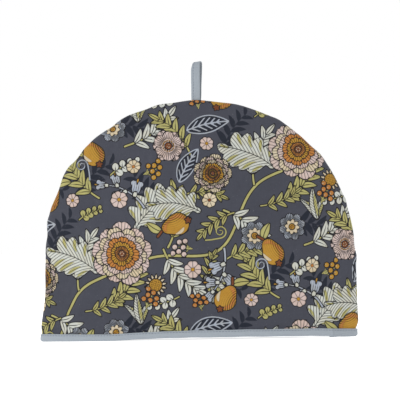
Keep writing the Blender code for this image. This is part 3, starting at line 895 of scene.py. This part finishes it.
def panelClimbs():
    # climb of each row: even ones up the straight side, others up the curve and close ones round the roll
    roll, straightRows = rollShares(cut["rise"]), panelMesh["straightRows"]
    below = np.linspace(cut["foot"] / cut["straight"] - 1.0, 0.0, straightRows + 1)
    count = panelMesh["rows"] - straightRows - panelMesh["rollSteps"] + 1
    above = np.linspace(0.0, 1.0 - roll[-1], count)
    return np.concatenate([below, above[1:], (1.0 - roll[:-1])[::-1]])


def seamRun(x, z):
    # how far along the dome seam the nearest place lies, from the right-hand start of the curve
    run = np.arctan2(np.maximum(z - cut["straight"], 0.0), x) * puckers["seamRadius"]
    side = np.minimum(z - cut["straight"], 0.0)
    return run + np.where(x > 0.0, side, -side)


def loopClearance(x, z):
    # how far the seam edges part where the loop's tails are caught between them
    middle = loop["place"] + 0.5 * loop["footTwist"]
    near = 1.0 - smoothStep(*loop["tailSpace"], np.abs(x - middle))
    low, high = loop["tailReach"]
    return loop["tailDepth"] * near * smoothStep(cut["height"] - low, cut["height"] - high, z)


def panelFace(panel, u, climb, inner):
    # one face of a panel as points, with its places on the flat cut
    z0 = cut["straight"] * (1.0 + climb)
    depth = cut["grip"] * (1.0 - smoothStep(cut["binding"] + cut["gap"], cut["gripEnd"], z0))
    x, out, z, fromSeam = grippedPlace(u, climb, depth, inner, panel["hollows"])
    out = np.hypot(out, loopClearance(x, z))
    flatX, flatZ = flatPlace(x, z, fromSeam)
    z = z + liftAt(x, panel["side"]) * (1.0 - smoothStep(*hemLift["fade"], z))
    return np.stack([axisX + x, panel["side"] * out, z], -1), flatX, flatZ, fromSeam


def pucker(shift, x, z, fromSeam):
    # short creases that run in from the dome seam and up from the binding, and a faint slackness between:
    # sine waves bent and scaled by longer ones, which die out away from where they start
    run, fromSeam = seamRun(x, z), np.maximum(fromSeam, 0.0)
    bending, swelling = puckers["seamDrift"]
    seam = wave(run, puckers["seamWave"], shift + 1.6 * wave(run, bending, 2 * shift))
    seam = seam * (0.62 + 0.38 * wave(run, swelling, 2.0 + shift))
    seam = seam * np.exp(-fromSeam / puckers["seamReach"]) * smoothStep(0.0004, 0.005, fromSeam)
    bending, swelling = puckers["hemDrift"]
    hem = wave(x, puckers["hemWave"], 2 * shift + 1.4 * wave(x, bending, shift))
    hem = hem * (0.6 + 0.4 * wave(x, swelling, shift))
    aboveHem = z - cut["binding"] - 0.001
    hem = hem * np.exp(-np.maximum(aboveHem, 0.0) / puckers["hemReach"]) * smoothStep(0.0, 0.0035, aboveHem)
    rising, falling, fine, level = puckers["slackWaves"]
    slack = wave(x + 0.4 * z, rising, shift) * wave(z - 0.3 * x, falling, 1.0 + shift)
    slack = slack + 0.45 * wave(x - 0.7 * z, fine, 3.0 * slack) * wave(z, level, shift)
    slack = slack * smoothStep(0.004, 0.03, fromSeam) * smoothStep(0.012, 0.03, z)
    return puckers["seamDepth"] * seam + puckers["hemDepth"] * hem + puckers["slackDepth"] * slack


def surfaceNormals(points, side):
    # square to a grid's steps across and up, and outwards
    across, up = np.gradient(points, axis=1), np.gradient(points, axis=0)
    normal = -side * np.cross(across, up)
    return normal / np.maximum(np.linalg.norm(normal, axis=-1, keepdims=True), 1e-12)


def borderOf(rows, columns):
    # point numbers once round a grid's edge: hem, right side, crown, left side
    right = np.arange(0, rows - 1) * columns + columns - 1
    crown = (rows - 1) * columns + np.arange(columns - 1, 0, -1)
    return np.concatenate([np.arange(0, columns - 1), right, crown, np.arange(rows - 1, 0, -1) * columns])


def rimTriangles(fine, coarse, ratio):
    # joins a ring of points to one with fewer, so many of the first to each step of the second
    steps = [np.roll(fine, -k)[::ratio] for k in range(ratio + 1)]
    nextCoarse, half = np.roll(coarse, -1), ratio // 2
    parts = [np.stack([steps[k], coarse if k < half else nextCoarse, steps[k + 1]], 1) for k in range(ratio)]
    parts.insert(half, np.stack([steps[half], coarse, nextCoarse], 1))
    return np.concatenate(parts)


def makePanel(panel):
    # the outer face on a fine grid, the inner one on every fourth point of it, and the rim between them
    side, coarse = panel["side"], panelMesh["coarse"]
    u, climb = np.meshgrid(panelColumns(), panelClimbs())
    outer, flatX, flatZ, fromSeam = panelFace(panel, u, climb, inner=False)
    relief = pucker(panel["seed"], outer[..., 0] - axisX, outer[..., 2], fromSeam)
    outer = outer + relief[..., None] * surfaceNormals(outer, side)
    inner, innerX, innerZ, _ = panelFace(panel, u[::coarse, ::coarse], climb[::coarse, ::coarse], inner=True)
    outerQuads = gridQuads(*u.shape)
    innerQuads = gridQuads(*innerX.shape)[:, ::-1] + u.size
    rim = rimTriangles(borderOf(*u.shape), borderOf(*innerX.shape) + u.size, coarse)
    quads = np.concatenate([outerQuads, innerQuads])
    if side > 0:
        quads, rim = quads[:, ::-1], rim[:, ::-1]
    points = np.concatenate([outer.reshape(-1, 3), inner.reshape(-1, 3)])
    uv = np.stack([np.append(flatX, innerX), np.append(flatZ, innerZ)], 1)
    faceFinish = np.arange(len(quads) + len(rim)) >= len(outerQuads)
    piece = newPiece(panel["name"], points, quads, rim, (fabric["printed"], fabric["inside"]), faceFinish, uv)
    piece.data.set_sharp_from_angle(angle=np.radians(panelMesh["sharpAngle"]))
    cloth = Cloth(-side * 1000.0 * flatX + panel["cloth"][0], 1000.0 * flatZ + panel["cloth"][1])
    layPrint(cloth)
    blank = np.full(innerX.size, tile["farOff"])
    for name, three in printFields.items():
        values = np.stack([np.append(cloth.fields[field], blank) for field in three], 1)
        addAttribute(piece, name, "FLOAT_VECTOR", values)
    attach(piece, "root")
    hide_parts(panel["node"])
    print("panel:", panel["name"], len(points), "points")


# the tape folded over the hem; it was sewn on unevenly, so shows is how much of its height is seen at each x
binding = dict(
    stations=360, height=0.0082, thickness=0.001, puff=0.00022, trough=0.00022, stitchDrop=0.0017,
    # furrowShade, foldShade and lapShade are painted shade: darker above the stitched furrow, at the lower
    # fold and over the lapped end
    cornerRound=0.0011, unevenness=0.00018, unevenWaves=(0.0071, 0.031, 0.0193), furrowShade=0.03,
    furrowEdge=(-0.0016, 0.0002), foldShade=0.05, foldReach=0.0022,
    lapLength=0.026, lapThickness=0.0007, lapStart=(-0.0001, 0.00035), lapThinner=0.6, lapThinned=0.004,
    puffUneven=0.35, troughUneven=0.4, lapShade=0.08, lumpHeight=0.0004, lumpStart=0.1415, lumpHalf=0.0085,
    showsAt=(-0.168, -0.135, -0.10, -0.05, 0.0, 0.06, 0.12, 0.168),
    shows=(1.0, 0.93, 0.86, 0.89, 0.94, 0.96, 0.98, 1.0),
    stitches=dict(pitch=0.0033, length=0.0025, radius=0.00023, sunk=0.0002),
)


def bindingLeg():
    # one leg of the folded tape cut across, from its edge inside the fold up, over and down to the hem: depth
    # into the wadding, height, and share of the puff, which is -1 in the stitched trough
    top, thick, drop = binding["height"], binding["thickness"], binding["stitchDrop"]
    return np.array([
        (thick, thick, 0), (thick, 0.5 * top, 0), (thick, top - 0.0006, 0), (0.92 * thick, top - 0.0002, 0),
        (0.70 * thick, top, 0), (0.42 * thick, top + 0.00005, 0), (0.16 * thick, top - 0.0002, 0),
        (0, top - 0.0006, 0.3), (0, top - 0.0011, 0.5), (0, top - drop + 0.0005, 0.1), (0, top - drop, -1.0),
        (0, top - drop - 0.0005, 0.1), (0, top - drop - 0.0011, 0.8), (0, 0.5 * top, 1.2),
        (0, 0.34 * top, 1.1), (0, 0.22 * top, 0.8), (0.06 * thick, 0.13 * top, 0.3),
        (0.25 * thick, 0.06 * top, 0), (0.6 * thick, 0.018 * top, 0), (1.1 * thick, 0, 0),
        (1.7 * thick, 0, 0),
    ], float)


def bindingStations():
    # u of each station along the front and the back, with close ones at the seams and where the lap begins
    even = np.linspace(-1.0, 1.0, binding["stations"] + 1)
    roll = panelColumns()
    roll = roll[np.abs(roll) > 1.0 - cut["rollReach"] / cut["halfWidth"]]
    lap = 1.0 - binding["lapLength"] / cut["halfWidth"] + np.array([-1.2, -0.5, 0.0, 0.3, 0.6]) * 1e-3
    return (np.unique(np.round(np.concatenate(parts), 7)) for parts in ((even, roll, lap), (even, roll)))


def bindingRun(leg, inner, u, side):
    # a leg's places at each station of one side: the panel's own wall, moved out by the puff and the lap,
    # with its height scaled to what shows there and lifted with the hem
    depth, height, puff = leg.T[:, :, None]
    x0 = u * cut["halfWidth"]
    onLap = smoothStep(*binding["lapStart"], x0 - cut["halfWidth"] + binding["lapLength"]) * (side < 0)
    thinner = smoothStep(cut["halfWidth"] - binding["lapThinned"], cut["halfWidth"], x0)
    onLap = onLap * (1.0 - binding["lapThinner"] * thinner)
    short, drift, broad = binding["unevenWaves"]
    uneven = np.sin(x0 / short + 1.3 * np.sin(x0 / drift)) * np.sin(x0 / broad + side)
    stitched = np.cos(2 * np.pi * x0 / binding["stitches"]["pitch"])
    puffed = binding["puff"] * (1.0 + binding["puffUneven"] * uneven)
    pulled = binding["trough"] * (1.0 + binding["troughUneven"] * stitched)
    inset = depth - puff * np.where(puff > 0, puffed, pulled)
    if not inner:
        lapped = binding["lapThickness"] * onLap * smoothStep(0.0, 0.0016, height)
        inset = inset - lapped * (depth < binding["thickness"])
    x, out, z, _ = grippedPlace(u, height / cut["straight"] - 1.0, inset, inner)
    out = np.where(isSeam(u), 0.0, out)
    fromSeam = cut["halfWidth"] - np.abs(x0)
    lift = liftAt(x0, side) + binding["unevenness"] * uneven * smoothStep(0.0, 0.012, fromSeam)
    lift = np.maximum(lift, 0.0) * (1.0 - onLap * (1.0 - smoothStep(0.0, 0.006, height)))
    lump = 0.5 - 0.5 * np.cos((x0 - binding["lumpStart"]) / binding["lumpHalf"] * np.pi)
    lump = onLap * binding["lumpHeight"] * lump * (height < 0.003)
    rounded = binding["cornerRound"] / cut["halfWidth"] * (1.0 - smoothStep(0.0, 0.0019, height))
    x = x * (1.0 - rounded * smoothStep(0.988, 1.0, np.abs(u)))
    z = z * np.interp(x0, binding["showsAt"], binding["shows"]) + lift + lump
    return np.stack([axisX + x, side * out, z], -1)


def dashes(path, normals, pitch, length, radius, sunk, start=0.0):
    # stitches along a path: short round threads, one to each pitch, whose ends dip under the cloth
    run = runAlong(path)
    centres = np.arange(start + pitch / 2, run[-1] - pitch / 2, pitch)
    t = np.linspace(-1.0, 1.0, 6)
    along = centres[:, None] + 0.5 * length * t[None, :]
    axis, out = (np.stack([np.interp(along, run, line[:, k]) for k in range(3)], -1)
                 for line in (path, normals))
    out = out / np.linalg.norm(out, axis=-1, keepdims=True)
    heading = np.gradient(axis, axis=1)
    side = np.cross(heading / np.linalg.norm(heading, axis=-1, keepdims=True), out)
    arch = (radius * 0.55 * (1.0 - t**2) - sunk * t**4)[None, :, None]
    thick = radius * np.sqrt(np.maximum(1.0 - 0.86 * t**6, 0.02))[None, :, None, None]
    turn = np.linspace(0.0, 2 * np.pi, 7)[:-1]
    ring = np.cos(turn)[:, None] * out[:, :, None, :] + np.sin(turn)[:, None] * side[:, :, None, :]
    return (axis + arch * out)[:, :, None, :] + thick * ring


def makeStitches(name, rows):
    # one piece from rows of stitches, whose points are stored stitch by stitch and ring by ring
    points = np.concatenate(rows)
    count, rings, sides = points.shape[:3]
    first = (np.arange(count) * rings * sides)[:, None, None]
    quads = (gridQuads(rings, sides, wrapColumns=True)[:, ::-1] + first).reshape(-1, 4)
    caps = (endCaps(rings, sides) + first).reshape(-1, 3)
    stitches = newPiece(name, points.reshape(-1, 3), quads, caps, (fabric["thread"],))
    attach(stitches, "root")
    return stitches


def makeBinding():
    # both legs at every station once round the hem, joined into a closed ring of a closed section
    leg = bindingLeg()
    front, back = bindingStations()
    places = np.concatenate([
        np.hstack([bindingRun(part, inner, front, -1.0), bindingRun(part, inner, back[::-1], 1.0)[:, 1:-1]])
        for part, inner in ((leg, False), (leg[::-1], True))])
    rows, columns = places.shape[:2]
    along, around = runAlong(places[6]), runAlong(places[:, columns // 4])
    uv = np.stack(np.broadcast_arrays(along[None, :], around[:, None]), -1).reshape(-1, 2)
    quads = gridQuads(rows, columns, wrapRows=True, wrapColumns=True)
    piece = newPiece("folded_hem_tape", places.reshape(-1, 3), quads, finish=(fabric["tape"],), uv=uv)
    height = np.append(leg[:, 1], leg[::-1, 1])[:, None]
    # painted shade: darker above the stitched furrow, towards the lower fold, and over the lapped end, most
    # along its edge
    fromLap = places[..., 0] - axisX - cut["halfWidth"] + binding["lapLength"]
    lap = (smoothStep(-0.0006, 0.0003, fromLap) + 1.5 * bell(fromLap, 0.0006)) * (places[..., 1] < 0)
    furrow = smoothStep(*binding["furrowEdge"], height - binding["height"] + binding["stitchDrop"])
    fold = 1.0 - smoothStep(0.0, binding["foldReach"], height)
    shade = binding["furrowShade"] * furrow + binding["foldShade"] * fold + binding["lapShade"] * lap
    addAttribute(piece, "shade", "FLOAT", shade)
    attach(piece, "root")
    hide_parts("hem_binding")
    trough = int(np.flatnonzero(leg[:, 2] == -1.0)[0])
    threads = []
    for row, floor, start in ((trough, 0, 0.0), (-1 - trough, -1, 0.5 * binding["stitches"]["pitch"])):
        line, base = (np.vstack([places[k], places[k][:1]]) for k in (row, floor))
        level = (line - base) * np.array([1.0, 1.0, 0.0])
        threads.append(dashes(line, level, **binding["stitches"], start=start))
    stitches = makeStitches("hem_stitches", threads)


# the loop at the crown: its tape, how it stands, and from the side its heights above the crown with half the
# open space between its legs; furrow is where across its half width it is sewn
loop = dict(
    width=0.0094, thickness=0.0014, height=0.0437, place=-0.0021, lean=0.0006, footTwist=0.0014,
    topTwist=0.0025, topTilt=9.0, legTilt=0.035, taper=0.0013, taperFrom=(0.80, 0.98),
    taperAcross=(0.001, -0.0048), topThinning=0.12, thinFrom=(0.9, 1.0), waver=0.00012, waverLength=0.0062,
    steps=6, furrowSpread=0.1,
    tailSpace=(0.0050, 0.0064), tailReach=(0.012, 0.0075), tailDepth=0.00172, furrow=-0.5, sharpAngle=70.0,
    # painted shade: the whole loop a little darker than the hem's tape, and more on its inside, in its furrow
    # and at its foot
    wholeLoopShade=0.08, insideShade=0.36, furrowShade=0.04, rootShade=0.09, rootReach=0.009,
    side=(
        (-0.006, 0.00015), (-0.003, 0.00015), (0.0, 0.00015), (0.003, 0.0003), (0.008, 0.0012),
        (0.013, 0.0024), (0.020, 0.0034), (0.028, 0.0039), (0.0345, 0.0036), (0.0385, 0.0028),
        (0.0408, 0.0016),
    ),
    stitches=dict(pitch=0.0031, length=0.0023, radius=0.0002, sunk=0.00018),
)


def smoothLine(points, steps):
    # a Catmull-Rom curve: each stretch is the cubic of its two ends and their neighbours
    p = np.vstack([2 * points[0] - points[1], points, 2 * points[-1] - points[-2]])
    t = np.linspace(0.0, 1.0, steps, endpoint=False)[None, :, None]
    a, b, c, d = p[:-3, None], p[1:-2, None], p[2:-1, None], p[3:, None]
    curve = 2 * b + (c - a) * t + (2 * a - 5 * b + 4 * c - d) * t**2 + (3 * b - a - 3 * c + d) * t**3
    return np.vstack([0.5 * curve.reshape(-1, points.shape[1]), points[-1:]])


def loopSection():
    # the doubled tape cut across, as shares of half its width and half its thickness: two edges on the left
    # with a stitched furrow near them, and a round fold on the right
    face = [
        (-0.985, 0.38), (-0.940, 0.72), (-0.850, 0.93), (-0.750, 1.03), (-0.620, 1.01), (-0.560, 0.95),
        (loop["furrow"], 0.82), (-0.440, 0.96), (-0.340, 1.05), (-0.150, 1.05), (0.060, 1.02), (0.280, 1.03),
        (0.500, 1.06), (0.700, 1.04), (0.860, 0.98), (0.930, 0.86), (0.975, 0.62), (0.990, 0.30),
    ]
    back = [(a, -d) for a, d in face[::-1]]
    outline = [(-0.90, 0.0), (-0.955, 0.05)] + face + [(1.0, 0.0)] + back + [(-0.955, -0.05)]
    return 0.5 * np.array(outline)[::-1] * np.array([loop["width"], loop["thickness"]])


def makeLoop():
    # the section carried up the front leg, over the top and down the back one, which is twisted aside
    height, leg = np.array(loop["side"]).T
    leg = leg + 0.5 * loop["thickness"]
    ends = np.concatenate([-leg, [0.0], leg[::-1]])
    heights = np.concatenate([height, [loop["height"] - 0.5 * loop["thickness"]], height[::-1]])
    line = smoothLine(np.stack([ends, heights], 1), loop["steps"])
    heading = np.gradient(line, axis=0)
    heading = heading / np.linalg.norm(heading, axis=1, keepdims=True)
    outwards = np.stack([0 * line[:, 0], -heading[:, 1], heading[:, 0]], 1)
    share = np.clip(line[:, 1] / loop["height"], 0.0, 1.0)
    behind = smoothStep(-0.0022, 0.0022, line[:, 0])  # 0 on the front leg and 1 on the back one
    twist = loop["footTwist"] + (loop["topTwist"] - loop["footTwist"]) * share
    waver = loop["waver"] * np.sin(line[:, 1] / loop["waverLength"] + 2.0 * behind)
    waver = waver * smoothStep(0.0, 0.4, share)
    middle = axisX + loop["place"] + loop["lean"] * share + behind * twist + waver
    sectionX, sectionDepth = loopSection().T[:, None, :]
    narrow = loop["taper"] * smoothStep(*loop["taperFrom"], share)  # the top's left corner is drawn in
    across = sectionX + narrow[:, None] * smoothStep(*loop["taperAcross"], sectionX)
    depth = sectionDepth * (1.0 - loop["topThinning"] * smoothStep(*loop["thinFrom"], share))[:, None]
    tilt = np.radians(loop["topTilt"]) * share**5 - loop["legTilt"] * share * (1.0 - share**4)
    x = middle[:, None] + across * np.cos(tilt)[:, None]
    y = line[:, :1] + depth * outwards[:, 1:2]
    z = cut["height"] + line[:, 1:] + depth * outwards[:, 2:] + across * np.sin(tilt)[:, None]
    places = np.stack([x, y, z], -1)
    rows, columns = places.shape[:2]
    run = runAlong(line)
    uv = np.stack(np.broadcast_arrays(run[:, None], sectionX), -1).reshape(-1, 2)
    quads = gridQuads(rows, columns, wrapColumns=True)
    caps = endCaps(rows, columns)[:, ::-1]
    piece = newPiece("doubled_tape_loop", places.reshape(-1, 3), quads, caps, (fabric["tape"],), uv=uv)
    # painted shade on the inside of the loop, in its stitched furrow and at its foot in the seam, and a
    # little all over
    inside = smoothStep(0.0, -0.4, sectionDepth / loop["thickness"]) * smoothStep(0.0, 0.1, share)[:, None]
    fromFurrow = sectionX / (0.5 * loop["width"]) - loop["furrow"]
    furrow = bell(fromFurrow, loop["furrowSpread"]) * (sectionDepth > 0.0)
    root = 1.0 - smoothStep(0.0, loop["rootReach"], line[:, 1:])
    shade = loop["insideShade"] * inside + loop["furrowShade"] * furrow + loop["rootShade"] * root
    addAttribute(piece, "shade", "FLOAT", loop["wholeLoopShade"] + shade)
    piece.data.set_sharp_from_angle(angle=np.radians(loop["sharpAngle"]))
    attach(piece, "root")
    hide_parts("hanging_loop")
    shown, sewn = line[:, 1] > 0.0015, int(np.argmax(furrow[0]))
    threads = dashes(places[shown, sewn], outwards[shown], **loop["stitches"])
    stitches = makeStitches("loop_stitches", [threads])
    print("loop tape:", round(1000 * float(run[-1])), "mm long")


# the table as lamps light it and as the lens sees it, the white room, two soft lamps and the camera
studio = dict(
    tableHalf=12.0, tableWhite=(250, 250, 250), tableGlow=0.30, tableWhiteness=0.72, roomLight=0.67,
    lampSize=1.5, lampsAimAt=(0.0, 0.0, 0.12),
    lamps=(("key light", (-2.1, -1.3, 1.8), 14.5), ("back light", (0.9, 1.9, 1.5), 7.0)),
    lens=600.0, sensor=36.0, frameWidth=0.4290, aimX=0.0028, aimZ=0.1490, roll=-0.97,
)


def seenAs(tree, unseen, seen):
    # one value for the light that falls on things and another for what the lens sees
    return ranged(tree, wired(tree, "LightPath").outputs["Is Camera Ray"], 0.0, 1.0, unseen, seen)


def makeTable():
    white = bpy.data.materials.new("white table")
    white.use_nodes = True
    shader = white.node_tree.nodes["Principled BSDF"].inputs
    shader["Base Color"].default_value = tone(*studio["tableWhite"])
    shader["Roughness"].default_value = 0.9
    shader["Specular IOR Level"].default_value = 0.0
    shader["Emission Color"].default_value = (1.0, 1.0, 1.0, 1.0)
    glow = seenAs(white.node_tree, studio["tableGlow"], studio["tableWhiteness"])
    feed(white.node_tree, shader["Emission Strength"], glow)
    corners = np.array([[-1.0, -1.0, 0.0], [1.0, -1.0, 0.0], [1.0, 1.0, 0.0], [-1.0, 1.0, 0.0]])
    table = newPiece("table", studio["tableHalf"] * corners, np.array([[0, 1, 2, 3]]), finish=(white,))


def lightStudio():
    scene = bpy.context.scene
    scene.world = bpy.data.worlds.new("white room")
    scene.world.use_nodes = True
    tree = scene.world.node_tree
    background = tree.nodes["Background"].inputs
    background[0].default_value = (1.0, 1.0, 1.0, 1.0)
    feed(tree, background[1], seenAs(tree, studio["roomLight"], 1.0))
    for name, place, power in studio["lamps"]:
        light = bpy.data.lights.new(name, "AREA")
        light.shape = "DISK"
        light.size = studio["lampSize"]
        light.energy = power
        lamp = bpy.data.objects.new(name, light)
        lamp.location = place
        aim = Vector(studio["lampsAimAt"]) - Vector(place)
        lamp.rotation_euler = aim.to_track_quat("-Z", "Y").to_euler()
        scene.collection.objects.link(lamp)
    scene.view_settings.view_transform = "Standard"
    scene.view_settings.look = "None"


def setCamera():
    # straight in front at the distance where the frame is as wide as wanted, rolled a little
    lens = bpy.data.cameras.new("camera")
    lens.lens = studio["lens"]
    lens.sensor_width = studio["sensor"]
    lens.sensor_fit = "HORIZONTAL"
    lens.clip_start, lens.clip_end = 0.1, 30.0
    distance = studio["frameWidth"] * studio["lens"] / studio["sensor"]
    camera = bpy.data.objects.new("camera", lens)
    rolled = Matrix.Rotation(np.radians(90.0), 4, "X") @ Matrix.Rotation(np.radians(studio["roll"]), 4, "Z")
    camera.matrix_world = Matrix.Translation((studio["aimX"], -distance, studio["aimZ"])) @ rolled
    bpy.context.scene.collection.objects.link(camera)
    bpy.context.scene.camera = camera


setCamera()
lightStudio()
makeTable()
print("studio ready")

makePanel(frontPanel)
makePanel(backPanel)
makeBinding()
makeLoop()
